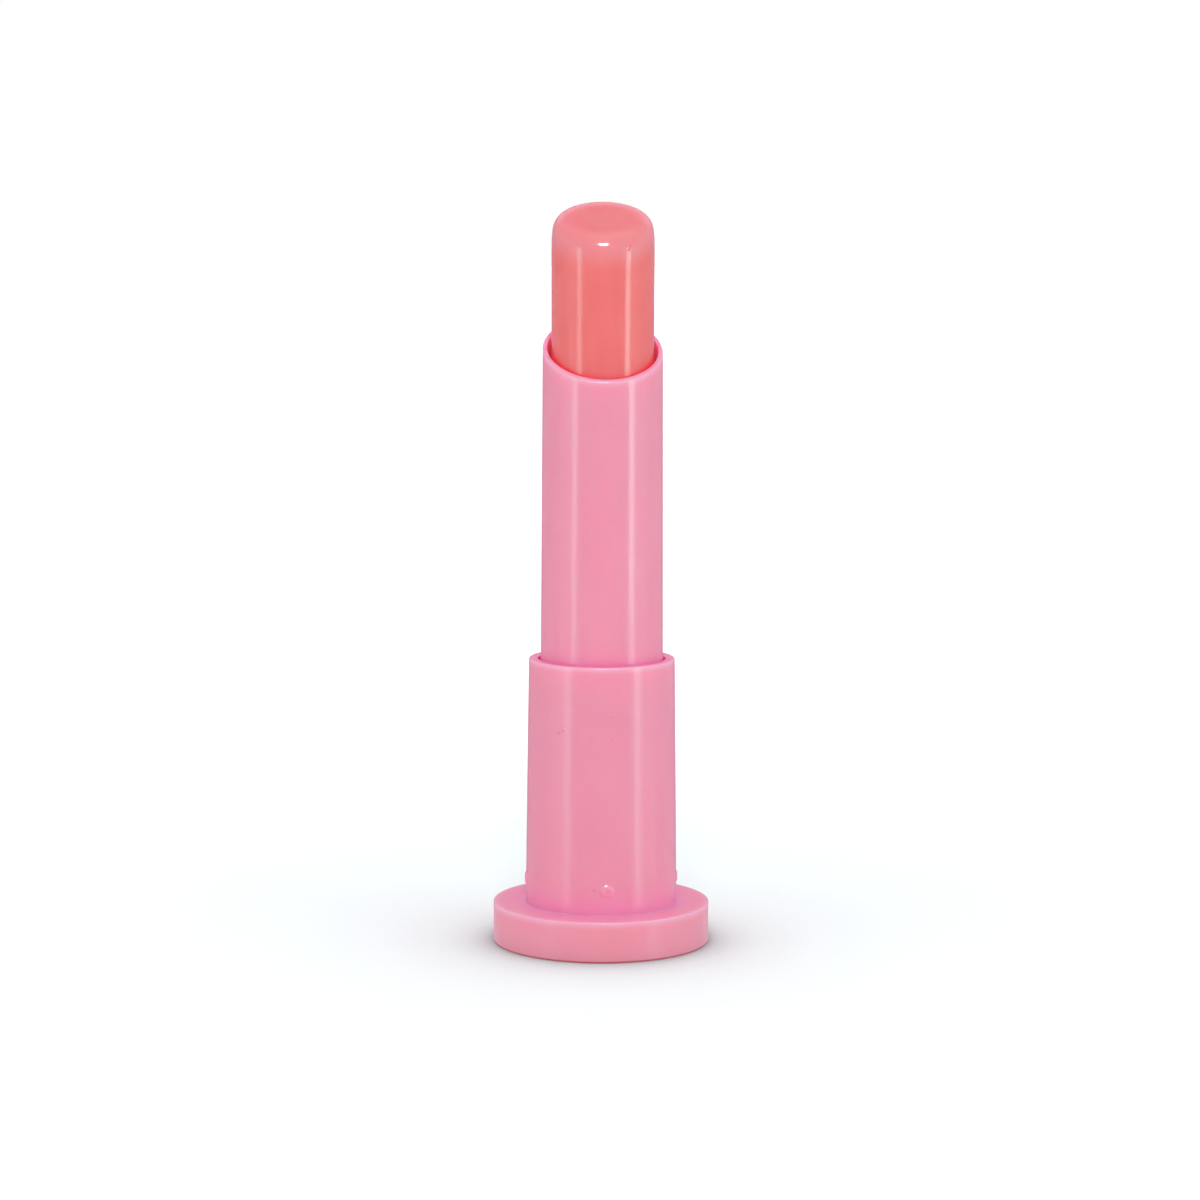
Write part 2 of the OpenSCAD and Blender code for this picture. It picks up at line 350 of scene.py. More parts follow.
# %% Base tube: the wall
TUBE_BORE_R, TUBE_CHAMBER_R, LIP_R = 7.45, 7.30, 6.96
TUBE_FOOT_R, TUBE_RIM_R = 8.28, 7.96
LEDGE_Z, LIP_Z = 27.23, 29.15
RIM_ROUND, LIP_ROUND = 0.15, 0.08

tube_rim_z = frame_mm("base_tube")[1].z
tube = turned([
    (TUBE_BORE_R, SEAT_Z), (TUBE_FOOT_R, SEAT_Z), (TUBE_FOOT_R, FOOT_T), (TUBE_RIM_R, tube_rim_z),
    (LIP_R, tube_rim_z), (LIP_R, LIP_Z), (TUBE_CHAMBER_R, LIP_Z), (TUBE_CHAMBER_R, LEDGE_Z),
    (TUBE_BORE_R, LEDGE_Z),
])
round_over(tube, ring_at(tube, TUBE_RIM_R, tube_rim_z), RIM_ROUND)
round_over(tube, ring_at(tube, LIP_R, tube_rim_z), LIP_ROUND, segments=4)
print("tube wall", len(tube.faces), "faces")

# %% [markdown]
# Four small round pips near the foot hold a cap. Each is a low dome, cut off a ball, that stands out of the
# wall, with a dent where its mould was drilled. A boolean union joins them to the wall. It leaves odd long
# faces where it cuts tall ones, so the wall first gets a few rings of edges round the pips' height, which
# keeps those faces small.

# %% Base tube: the snap pips
BUMP_R, BUMP_PROUD, BUMP_Z = 0.75, 0.2, 7.0
BUMP_SINK = 0.3
BUMP_COUNT = 4
DENT_R, DENT_DEPTH = 0.5, 0.12
DOME_STEPS = 96
WALL_RINGS, WALL_RING_STEP = 9, 0.4

for ring in range(WALL_RINGS):
    height = BUMP_Z + (ring - (WALL_RINGS - 1) / 2) * WALL_RING_STEP
    everything = tube.verts[:] + tube.edges[:] + tube.faces[:]
    bmesh.ops.bisect_plane(tube, geom=everything, plane_co=(0, 0, height * MM), plane_no=(0, 0, 1))
bump_top_r = frame_mm("base_tube")[1].x
ball_r = (BUMP_R**2 + BUMP_PROUD**2) / (2 * BUMP_PROUD)
pips = bmesh.new()
for turn in range(BUMP_COUNT):
    dome = bmesh.new()
    bmesh.ops.create_uvsphere(dome, u_segments=DOME_STEPS, v_segments=DOME_STEPS, radius=ball_r * MM)
    to_wall = Matrix.Translation(((bump_top_r - ball_r) * MM, 0, BUMP_Z * MM))
    bmesh.ops.transform(dome, matrix=to_wall @ Matrix.Rotation(math.pi / 2, 4, "Y"), verts=dome.verts)
    for v in dome.verts:
        from_middle = math.hypot(v.co.y, v.co.z - BUMP_Z * MM) / (DENT_R * MM)
        if v.co.x > (bump_top_r - BUMP_PROUD) * MM and from_middle < 1:
            v.co.x -= DENT_DEPTH * MM * (1 - from_middle**2) ** 2
    cut_off_above(dome, ((bump_top_r - BUMP_PROUD - BUMP_SINK) * MM, 0, 0), (-1, 0, 0))
    bmesh.ops.holes_fill(dome, edges=[e for e in dome.edges if e.is_boundary])
    bmesh.ops.rotate(dome, matrix=Matrix.Rotation(turn * math.tau / BUMP_COUNT, 3, "Z"), verts=dome.verts)
    dome_mesh = bpy.data.meshes.new("dome")
    dome.to_mesh(dome_mesh)
    dome.free()
    pips.from_mesh(dome_mesh)
    bpy.data.meshes.remove(dome_mesh)
tube_shell = as_piece(joined(tube, pips, "UNION"), "tube_shell", "base", "tube_plastic", "base_tube")

# %% [markdown]
# ## The sleeve
# The sleeve is one long tube. Below the rim of the base tube it is thinner, with a snap bead and two
# slots for the carrier's lugs. Its rim is cut on a slant. The blank is turned too tall, cut with a
# plane, and the two open rings are bridged into a flat rim, whose outer edge is rounded more than its inner
# one. The slots are cut by a bar that goes through both walls.

# %% Sleeve
SLEEVE_BORE_R, SLEEVE_SLOT_R = 5.97, 6.52
SLEEVE_FOOT_R, SLEEVE_RIM_R = 6.67, 6.46
BEAD_R, BEAD_Z, BEAD_H = 7.15, 27.4, 0.8
SLOT_W, SLOT_LOW_Z, SLOT_HIGH_Z = 2.0, 6.45, 26.45
RIM_SLANT = math.radians(25.8)
RIM_OUTER_EDGE, RIM_INNER_EDGE = 0.16, 0.08
SPARE_H = 1.0

sleeve_low_z, sleeve_high_z = (corner.z for corner in frame_mm("guide_sleeve"))
rim_point = Vector((0, 0, (sleeve_high_z - SLEEVE_RIM_R * math.tan(RIM_SLANT)) * MM))
rim_up = Vector((0, -math.sin(RIM_SLANT), math.cos(RIM_SLANT)))
sleeve = turned([
    (SLEEVE_BORE_R, sleeve_low_z), (SLEEVE_SLOT_R, sleeve_low_z), (SLEEVE_SLOT_R, BEAD_Z), (BEAD_R, BEAD_Z),
    (BEAD_R, BEAD_Z + BEAD_H), (SLEEVE_SLOT_R, BEAD_Z + BEAD_H), (SLEEVE_SLOT_R, LIP_Z),
    (SLEEVE_FOOT_R, LIP_Z), (SLEEVE_RIM_R, sleeve_high_z + SPARE_H), (SLEEVE_BORE_R, sleeve_high_z + SPARE_H),
])
cut_off_above(sleeve, rim_point, rim_up)
bmesh.ops.bridge_loops(sleeve, edges=[e for e in sleeve.edges if e.is_boundary])
bmesh.ops.recalc_face_normals(sleeve, faces=sleeve.faces)
rim_edges = rim_of_cut(sleeve, rim_point, rim_up)
middle_r = (SLEEVE_BORE_R + SLEEVE_RIM_R) / 2 * MM
inner_edges = [e for e in rim_edges if e.verts[0].co.xy.length < middle_r]
round_over(sleeve, [e for e in rim_edges if e not in inner_edges], RIM_OUTER_EDGE, segments=8)
round_over(sleeve, inner_edges, RIM_INNER_EDGE, segments=4)

slots = bmesh.new()
bar_length = 4 * SLEEVE_SLOT_R
slot_size = Matrix.Diagonal((bar_length * MM, SLOT_W * MM, (SLOT_HIGH_Z - SLOT_LOW_Z) * MM, 1))
slot_place = Matrix.Translation((0, 0, (SLOT_LOW_Z + SLOT_HIGH_Z) / 2 * MM))
bmesh.ops.create_cube(slots, size=1, matrix=slot_place @ slot_size)
slanted_sleeve = as_piece(
    joined(sleeve, slots, "DIFFERENCE"), "slanted_sleeve", "sleeve", "sleeve_plastic", "guide_sleeve"
)

# %% [markdown]
# ## The balm bullet
# The bullet is cast wax: a cylinder with a slanted face and a soft edge. A ball rolled along that edge
# touches the wall and the face further from the corner where the two meet at a sharper angle, so the round
# is wide at the high side and narrow at the low side, where a larger ball makes up for some of it. The bevel
# modifier follows that with edge weights. Its arc is a stretched quarter circle, so the width is worked out
# from where the arc's crest should lie.

# %% Balm bullet: the casting
BALM_R, CORE_R = 5.55, 5.40
SHOULDER_Z, CORE_LOW_Z = 57.5, 50.2
TIP_Z, TIP_ROUND, LOW_TIP_ROUND = 79.2, 1.5, 2.0
TIP_SEGMENTS = 14
TIP_SLANT = math.radians(21.75)
TIP_TURN = math.radians(-3.5)

tip_up = Matrix.Rotation(TIP_TURN, 3, "Z") @ Vector((0, -math.sin(TIP_SLANT), math.cos(TIP_SLANT)))
tip_point = Vector((0, 0, TIP_Z * MM))
blank_top_z = TIP_Z + BALM_R * math.tan(TIP_SLANT) + SPARE_H
balm = turned([
    (0, CORE_LOW_Z), (CORE_R, CORE_LOW_Z), (CORE_R, SHOULDER_Z), (BALM_R, SHOULDER_Z),
    (BALM_R, blank_top_z), (0, blank_top_z),
])
cut_off_above(balm, tip_point, tip_up)
bmesh.ops.holes_fill(balm, edges=[e for e in balm.edges if e.is_boundary])


def bevel_width(edge):
    """How wide a bevel has to be for its crest to lie on the rolling ball, in millimetres."""
    middle = (edge.verts[0].co + edge.verts[1].co) / 2
    half_turn = Vector((middle.x, middle.y, 0)).angle(tip_up) / 2
    lowness = (1 - (middle - tip_point).z / (BALM_R * math.tan(TIP_SLANT) * MM)) / 2
    ball = TIP_ROUND + (LOW_TIP_ROUND - TIP_ROUND) * lowness**3
    corner_to_ball = ball * (1 / math.cos(half_turn) - 1)
    crest_share = (2 - math.sqrt(2)) * math.sin(half_turn)
    return corner_to_ball / crest_share


weight = balm.edges.layers.float.new("bevel_weight_edge")
widths = {e: bevel_width(e) for e in rim_of_cut(balm, tip_point, tip_up)}
widest = max(widths.values())
for e, width in widths.items():
    e[weight] = width / widest
print(f"balm edge: the round is {min(widths.values()):.2f} to {widest:.2f} mm wide")
balm = modified(balm, "BEVEL", limit_method="WEIGHT", width=widest * MM, segments=TIP_SEGMENTS)

# %% [markdown]
# Wax shrinks as it sets, which sinks the cast face a little, and a bullet that has been pushed out by its
# base and touched is never as even as moulded plastic. Rings are inset in the face for the dish, loops are
# cut round the wall, and low smooth noise takes a few hundredths of a millimetre off it. Where a flat
# meets a true round, a reflection breaks, and melted wax has no such line, so the rim is smoothed a little.

# %% Balm bullet: the dish and the uneven wall
DISH_RINGS, DISH_DEPTH = 12, 0.04
BLEND_DEPTH, BLEND_INWARD, BLEND_PASSES, BLEND_FACTOR = 2.2, 3.3, 30, 0.5
WALL_LOOPS = 70
UNEVEN_DEPTH, UNEVEN_SIZE = 0.035, 3.2


def drift(point, size):
    """Smooth noise from 0 to 1 that changes over a size in millimetres."""
    return 0.5 + 0.5 * noise.noise(point / (size * MM))


def near_the_rim(v):
    """Whether a point lies close to the edge of the slanted face."""
    depth = (tip_point - v.co).dot(tip_up)
    return depth < BLEND_DEPTH * MM and v.co.xy.length > (BALM_R - BLEND_INWARD) * MM


face = max((f for f in balm.faces if f.normal.dot(tip_up) > SAME_WAY), key=lambda f: f.calc_area())
face_r = math.sqrt(face.calc_area() / math.pi)
for ring in range(DISH_RINGS):
    outer_share, inner_share = 1 - ring / (DISH_RINGS + 1), 1 - (ring + 1) / (DISH_RINGS + 1)
    drop = DISH_DEPTH * MM * ((1 - inner_share**2) ** 2 - (1 - outer_share**2) ** 2)
    bmesh.ops.inset_individual(balm, faces=[face], thickness=face_r / (DISH_RINGS + 1), depth=-drop)

wall_edges = [
    e for e in balm.edges
    if e.calc_length() > BALM_R * MM and min(v.co.xy.length for v in e.verts) > (CORE_R + BALM_R) / 2 * MM
]
bmesh.ops.subdivide_edges(balm, edges=wall_edges, cuts=WALL_LOOPS, use_grid_fill=True)
rim_points = [v for v in balm.verts if near_the_rim(v)]
for blend_pass in range(BLEND_PASSES):
    bmesh.ops.smooth_vert(
        balm, verts=rim_points, factor=BLEND_FACTOR, use_axis_x=True, use_axis_y=True, use_axis_z=True
    )
for v in balm.verts:
    if v.co.z > (SHOULDER_Z + SPARE_H) * MM:
        out = Vector((v.co.x, v.co.y, 0))
        v.co -= out / (BALM_R * MM) * drift(v.co, UNEVEN_SIZE) * UNEVEN_DEPTH * MM
balm_bullet = as_piece(balm, "balm_bullet", "carrier", "balm_wax", "balm_stick")

# %% [markdown]
# ## The seam at the foot
# The tube is welded into the foot's socket, and a little plastic was pressed out of the joint. It shows as
# a hair-thin line with a few brighter nibs. It is a tiny ring, turned like the rest, whose crest is then
# pulled back by noise, so that it comes and goes round the seam.

# %% Seam flash
FLASH_CORE_R, FLASH_OUT, FLASH_UP = 8.24, 0.17, 0.12
FLASH_PATCH, FLASH_LEAST = 0.9, 0.5
FLASH_STEPS = 480

flash = turned([
    (FLASH_CORE_R, FOOT_T - FLASH_UP), (FLASH_CORE_R + FLASH_OUT, FOOT_T), (FLASH_CORE_R, FOOT_T + FLASH_UP),
], FLASH_STEPS)
for v in flash.verts:
    core = Vector((v.co.x, v.co.y, 0)).normalized() * FLASH_CORE_R * MM + Vector((0, 0, FOOT_T * MM))
    crest = FLASH_LEAST + (1 - FLASH_LEAST) * drift(core, FLASH_PATCH) ** 3
    v.co = core + (v.co - core) * crest
seam_flash = as_piece(flash, "seam_flash", "base", "tube_plastic")
print("pieces:", ", ".join(sorted(row["piece"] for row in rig.table()["pieces"])))

# %% [markdown]
# ## Nodes in plain code
# A material is a tree of nodes. A few helpers keep each tree short: they add a node and fill its inputs with
# values or links, and start a group with named inputs and outputs, for an effect that several finishes
# share. A group only puts out what changes over the surface. Where a node has several sockets of one name,
# as Math and Mix do, they go by number.

# %% Node helpers
PER_MM = 1 / MM


def fill(tree, node, inputs):
    """Sets inputs of a node to a value each, or links them to a socket."""
    for socket, value in inputs.items():
        if isinstance(value, bpy.types.NodeSocket):
            tree.links.new(value, node.inputs[socket])
        else:
            node.inputs[socket].default_value = value


def add(tree, kind, inputs=None, **settings):
    """Adds a shader node with its settings and inputs."""
    node = tree.nodes.new("ShaderNode" + kind)
    for setting, value in settings.items():
        setattr(node, setting, value)
    fill(tree, node, inputs or {})
    return node


def times(tree, one, other):
    """The product of two numbers or sockets."""
    return add(tree, "Math", {0: one, 1: other}, operation="MULTIPLY").outputs[0]


def ramp(tree, value, start, end, low=0.0, high=1.0, **settings):
    """A number that goes from low to high while a value goes from start to end."""
    ends = {"From Min": start, "From Max": end, "To Min": low, "To Max": high}
    return add(tree, "MapRange", {"Value": value} | ends, **settings).outputs["Result"]


def noise_scale(tree, size):
    """The scale at which noise has bumps of about a size in millimetres."""
    return add(tree, "Math", {0: PER_MM, 1: size}, operation="DIVIDE").outputs[0]


def surface_height(tree):
    """How high a point of the surface lies above the ground, in metres."""
    return add(tree, "SeparateXYZ", {0: add(tree, "TexCoord").outputs["Object"]}).outputs["Z"]


def start_group(name, inputs, outputs):
    """A new node group: inputs map a name to its default value, outputs map a name to a socket type."""
    group = bpy.data.node_groups.new(name, "ShaderNodeTree")
    for title, value in inputs.items():
        kind = {float: "NodeSocketFloat", tuple: "NodeSocketVector", list: "NodeSocketColor"}[type(value)]
        group.interface.new_socket(title, in_out="INPUT", socket_type=kind).default_value = value
    for title, kind in outputs.items():
        group.interface.new_socket(title, in_out="OUTPUT", socket_type=kind)
    return group, group.nodes.new("NodeGroupInput").outputs, group.nodes.new("NodeGroupOutput").inputs


def share(tree, group, inputs):
    """Places a shared effect in a material with that material's own values, and gives its outputs."""
    node = tree.nodes.new("ShaderNodeGroup")
    node.node_tree = group
    fill(tree, node, inputs)
    return node.outputs


print("noise with a scale of", PER_MM, "has bumps of about 1 mm")

# %% [markdown]
# ## Effects that the finishes share
# **Moulded skin.** A moulded wall copies its steel mould: a fine, even grain that breaks up reflections a
# little, over broad, very low waves where the plastic shrank. Both come from noise on Object coordinates,
# in real sizes, so the grain is as fine on the disc as on the tube. Noise seldom leaves its middle range, so
# that range is stretched to the whole.

# %% Shared effect: moulded skin
NOISE_LOW, NOISE_HIGH = 0.3, 0.7
CLOUD_SHARE = 0.4


def make_moulded_skin():
    """Height of grain and waves, and a roughness that wanders between two values."""
    tree, given, made = start_group(
        "moulded_skin",
        {"Grain mm": 0.12, "Wave mm": 3.0, "Grain Share": 0.15,
         "Roughness Low": 0.25, "Roughness High": 0.35},
        {"Height": "NodeSocketFloat", "Roughness": "NodeSocketFloat"},
    )
    place = add(tree, "TexCoord").outputs["Object"]

    def layer(size, detail):
        scale = noise_scale(tree, size)
        return add(tree, "TexNoise", {"Vector": place, "Scale": scale, "Detail": detail}).outputs["Fac"]

    grain, wave = layer(given["Grain mm"], 3.0), layer(given["Wave mm"], 1.0)
    height = add(tree, "Mix", {0: given["Grain Share"], 2: wave, 3: grain}, data_type="FLOAT").outputs[0]
    cloud = layer(times(tree, given["Wave mm"], CLOUD_SHARE), 4.0)
    rough = ramp(tree, cloud, NOISE_LOW, NOISE_HIGH, given["Roughness Low"], given["Roughness High"])
    tree.links.new(height, made["Height"])
    tree.links.new(rough, made["Roughness"])
    return tree


moulded_skin = make_moulded_skin()
print("moulded_skin:", len(moulded_skin.nodes), "nodes")

# %% [markdown]
# **Tinted body.** Pigment is never mixed quite evenly: slow clouds of a slightly deeper tint drift through
# the plastic and the wax.

# %% Shared effect: tinted body
def make_tinted_body():
    """A colour that drifts between two tints in soft clouds."""
    tree, given, made = start_group(
        "tinted_body",
        {"Tint": [0.8, 0.3, 0.4, 1.0], "Deeper Tint": [0.7, 0.2, 0.3, 1.0], "Cloud mm": 6.0},
        {"Color": "NodeSocketColor"},
    )
    place = add(tree, "TexCoord").outputs["Object"]
    scale = noise_scale(tree, given["Cloud mm"])
    cloud = add(tree, "TexNoise", {"Vector": place, "Scale": scale, "Detail": 2.0, "Distortion": 0.6})
    soft = ramp(tree, cloud.outputs["Fac"], NOISE_LOW, NOISE_HIGH)
    colour = add(tree, "Mix", {0: soft, 6: given["Tint"], 7: given["Deeper Tint"]}, data_type="RGBA")
    tree.links.new(colour.outputs[2], made["Color"])
    return tree


tinted_body = make_tinted_body()
print("tinted_body:", len(tinted_body.nodes), "nodes")

# %% [markdown]
# **Handling marks.** A pocket leaves hairline rubs along a stick. They are noise stretched along the axis,
# cut off high so that only its crests show, and kept to a few patches by a second, broad noise.

# %% Shared effect: handling marks
RUB_FROM, RUB_FULL = 0.60, 0.75
PATCH_FROM, PATCH_FULL = 0.5, 0.65


def make_handling_marks():
    """A mask of fine rubs that run up and down the stick, in patches."""
    tree, given, made = start_group(
        "handling_marks",
        {"Width mm": 0.12, "Length mm": 1.6, "Patch mm": 4.0, "Amount": 0.5},
        {"Mask": "NodeSocketFloat"},
    )
    place = add(tree, "TexCoord").outputs["Object"]
    thin, long = noise_scale(tree, given["Width mm"]), noise_scale(tree, given["Length mm"])
    stretch = add(tree, "CombineXYZ", {"X": thin, "Y": thin, "Z": long}).outputs[0]
    stretched = add(tree, "VectorMath", {0: place, 1: stretch}, operation="MULTIPLY").outputs[0]
    lines = add(tree, "TexNoise", {"Vector": stretched, "Scale": 1.0, "Detail": 2.0}).outputs["Fac"]
    crests = ramp(tree, lines, RUB_FROM, RUB_FULL)
    broad = noise_scale(tree, given["Patch mm"])
    cloud = add(tree, "TexNoise", {"Vector": place, "Scale": broad, "Detail": 1.0}).outputs["Fac"]
    patches = ramp(tree, cloud, PATCH_FROM, PATCH_FULL)
    mask = times(tree, times(tree, crests, patches), given["Amount"])
    tree.links.new(mask, made["Mask"])
    return tree


handling_marks = make_handling_marks()
print("handling_marks:", len(handling_marks.nodes), "nodes")

# %% [markdown]
# **A pit.** A few single flaws show on the real stick: tiny pits in the tube and a pinhole in the wax. A
# pit is a soft disc round a point: the distance from its centre, turned into a mask.

# %% Shared effect: one pit
def make_pit():
    """A mask that is 1 at a point and fades to 0 at a radius."""
    tree, given, made = start_group(
        "pit", {"Centre": (0.0, 0.0, 0.0), "Radius mm": 0.2}, {"Mask": "NodeSocketFloat"}
    )
    place = add(tree, "TexCoord").outputs["Object"]
    away = add(tree, "VectorMath", {0: place, 1: given["Centre"]}, operation="DISTANCE").outputs["Value"]
    radius = times(tree, given["Radius mm"], MM)
    mask = ramp(tree, away, radius, 0.0, interpolation_type="SMOOTHSTEP")
    tree.links.new(mask, made["Mask"])
    return tree


pit = make_pit()
print("pit:", len(pit.nodes), "nodes")

# %% [markdown]
# ** Painted edge light.** Light wanders inside pigmented plastic. Near an upper edge it finds the way out
# soon, and the edge mirrors the cool light from above, so a pale band runs along the edge; here that band is
# painted into the colour. The Bevel node rounds the normal near an edge without changing the shape, and how
# far it turns the normal marks the band.

# %% Shared effect: painted edge light
EDGE_RAYS = 8
FULLY_TURNED = 0.8
BAND_POWER = 0.5
FACES_UP = 0.2


def make_painted_edge_light():
    """A mask of the pale bands of painted light along edges that face up."""
    tree, given, made = start_group("upper_edges", {"Width mm": 1.0}, {"Mask": "NodeSocketFloat"})
    width = times(tree, given["Width mm"], MM)
    rounded = add(tree, "Bevel", {"Radius": width}, samples=EDGE_RAYS).outputs[0]
    flat = add(tree, "NewGeometry").outputs["Normal"]
    alike = add(tree, "VectorMath", {0: flat, 1: rounded}, operation="DOT_PRODUCT").outputs["Value"]
    turned_away = ramp(tree, alike, 1.0, FULLY_TURNED)
    band = add(tree, "Math", {0: turned_away, 1: BAND_POWER}, operation="POWER").outputs[0]
    rounded_up = add(tree, "SeparateXYZ", {0: rounded}).outputs["Z"]
    tree.links.new(times(tree, band, ramp(tree, rounded_up, 0.0, FACES_UP)), made["Mask"])
    return tree


upper_edges = make_painted_edge_light()
print("upper_edges:", len(upper_edges.nodes), "nodes")

# %% [markdown]
# ** Corners and gaps.** In a corner the light has met the pigment many times, so the colour is fuller
# there: painted bounce light. A narrow gap glows with what comes through its walls, a longer way than a path
# tracer follows: a painted glow, as emission, though nothing there is a lamp. Ambient Occlusion measures how
# shut in a point is, also between two pieces. What lies below a given height doesn't count, so that the floor
# makes no corner with the foot, and what is sealed off has no light to glow with.

# %% Shared effect: painted light in corners and gaps
CORNER_RAYS = 8
SEALED, ALMOST_SEALED = 0.003, 0.03
CORNER_FROM, CORNER_FULL = 0.95, 0.4
GAP_FROM, GAP_FULL = 0.60, 0.10


def make_painted_corner_and_gap_light():
    """One mask for painted bounce light in corners, one for painted glow in the narrow gaps among them."""
    tree, given, made = start_group(
        "corners", {"Reach mm": 4.0, "Above mm": 4.0}, {"Corner": "NodeSocketFloat", "Gap": "NodeSocketFloat"}
    )
    reach = times(tree, given["Reach mm"], MM)
    openness = add(tree, "AmbientOcclusion", {"Distance": reach}, samples=CORNER_RAYS).outputs["AO"]
    ends = {0: surface_height(tree), 1: times(tree, given["Above mm"], MM)}
    above = add(tree, "Math", ends, operation="GREATER_THAN").outputs[0]
    counted = times(tree, above, ramp(tree, openness, SEALED, ALMOST_SEALED))
    for title, open_at, shut_at in (("Corner", CORNER_FROM, CORNER_FULL), ("Gap", GAP_FROM, GAP_FULL)):
        tree.links.new(times(tree, ramp(tree, openness, open_at, shut_at), counted), made[title])
    return tree


corners = make_painted_corner_and_gap_light()
print("corners:", len(corners.nodes), "nodes")

# %% [markdown]
# ## The finishes
# Every finish is one Principled shader. What is the same all over, such as how far light travels under the
# surface, is set on the shader, and what changes over the surface is linked in from the shared effects.

# %% A finish
def start_finish(name, uniform):
    """A material with one Principled shader, whose uniform sockets are set."""
    material = bpy.data.materials.new(name)
    material.use_nodes = True
    tree = material.node_tree
    shader = tree.nodes["Principled BSDF"]
    fill(tree, shader, uniform)
    return material, tree, shader


def strongest(tree, masks):
    """The highest of several masks."""
    top = masks[0]
    for mask in masks[1:]:
        top = add(tree, "Math", {0: top, 1: mask}, operation="MAXIMUM").outputs[0]
    return top


RUB_ROUGHNESS = 0.10
PLASTIC_BUMP_MM = 0.006
PIT_MM, PIT_SHADE = 0.05, [0.94, 0.80, 0.82, 1]
BLISTER_MM = 0.10


def tint_where(tree, mask, colour, tint):
    """A colour that turns to a tint where the mask is 1."""
    return add(tree, "Mix", {0: mask, 6: colour, 7: tint}, data_type="RGBA").outputs[2]


def highest_mask(tree, spots):
    """One mask of several spots, each a centre and a radius in millimetres."""
    masks = [share(tree, pit, {"Centre": at * MM, "Radius mm": size})["Mask"] for at, size in spots]
    return strongest(tree, masks)


def dress(tree, shader, colour, skin, marks, pits=(), blisters=(), bump_mm=PLASTIC_BUMP_MM):
    """Links a colour and the shared effects to a shader: grain, rubs, pits and blisters."""
    surface = share(tree, moulded_skin, skin)
    rubs = share(tree, handling_marks, marks)["Mask"]
    rough = add(tree, "Math", {0: rubs, 1: RUB_ROUGHNESS, 2: surface["Roughness"]}, operation="MULTIPLY_ADD")
    bump = add(tree, "Bump", {"Height": surface["Height"], "Distance": bump_mm * MM})
    if blisters:
        blister = highest_mask(tree, blisters)
        raised = {"Height": blister, "Distance": BLISTER_MM * MM, "Normal": bump.outputs[0]}
        bump = add(tree, "Bump", raised)
    if pits:
        hole = highest_mask(tree, pits)
        # Pits are painted a little darker and redder: painted shade in the hollow.
        shaded = add(tree, "Mix", {0: hole, 6: colour, 7: PIT_SHADE}, data_type="RGBA", blend_type="MULTIPLY")
        colour = shaded.outputs[2]
        sunk = {"Height": hole, "Distance": PIT_MM * MM, "Normal": bump.outputs[0]}
        bump = add(tree, "Bump", sunk, invert=True)
    fill(tree, shader, {"Base Color": colour, "Roughness": rough.outputs[0], "Normal": bump.outputs[0]})


print("a pit is", PIT_MM, "mm deep, a blister", BLISTER_MM, "mm high")

# %% [markdown]
# ** Pink plastic.** The tube, foot and sleeve are the same glossy, slightly see-through pink. Subsurface
# scattering needs real distances: light goes about a millimetre into pigmented plastic, further for red than
# for green. On top of that, light and shade are painted into the colour: a pale band along the upper edges
# (painted light), a fuller tint in the corners (painted bounce light), a glow in the narrow gap at the tube's
# rim (painted glow, as emission), and a thin darker, redder line along the foot's lower edge (painted contact
# shade, with the red of light that comes back through the plastic from the sheet). The seam's flash is
# thinner than the subsurface distance and lies half inside its neighbours, where light would be lost, so it
# alone has a plain surface.

# %% Pink plastic
PINK_LIGHT = {"Subsurface Weight": 1.0, "Subsurface Scale": 0.9 * MM,
              "Subsurface Radius": (1.0, 0.5, 0.6), "Emission Strength": 1.0}
BLACK = [0, 0, 0, 1]
LEDGE_EDGE_Z = FOOT_T - 2 * FOOT_TOP_ROUND
PINK_SKIN = {"Grain mm": 0.10, "Wave mm": 3.5, "Grain Share": 0.10}
# Painted light and shade, not pigment: pale upper edges, fuller corners, a darker redder line at the foot.
PINK_PAINTED_EDGE_LIGHT, PINK_PAINTED_CORNER_LIGHT, PINK_PAINTED_CONTACT_SHADE = [0.83, 0.45, 0.59, 1], [0.98, 0.28, 0.54, 1], [0.70, 0.08, 0.10, 1]
PINK_PAINTED_GAP_GLOW = [0.26, 0.045, 0.045, 1]
CONTACT_SHADE_LOW_Z, CONTACT_SHADE_HIGH_Z = 0.10, 0.28
ROUGHNESS_DRIFT = 0.015


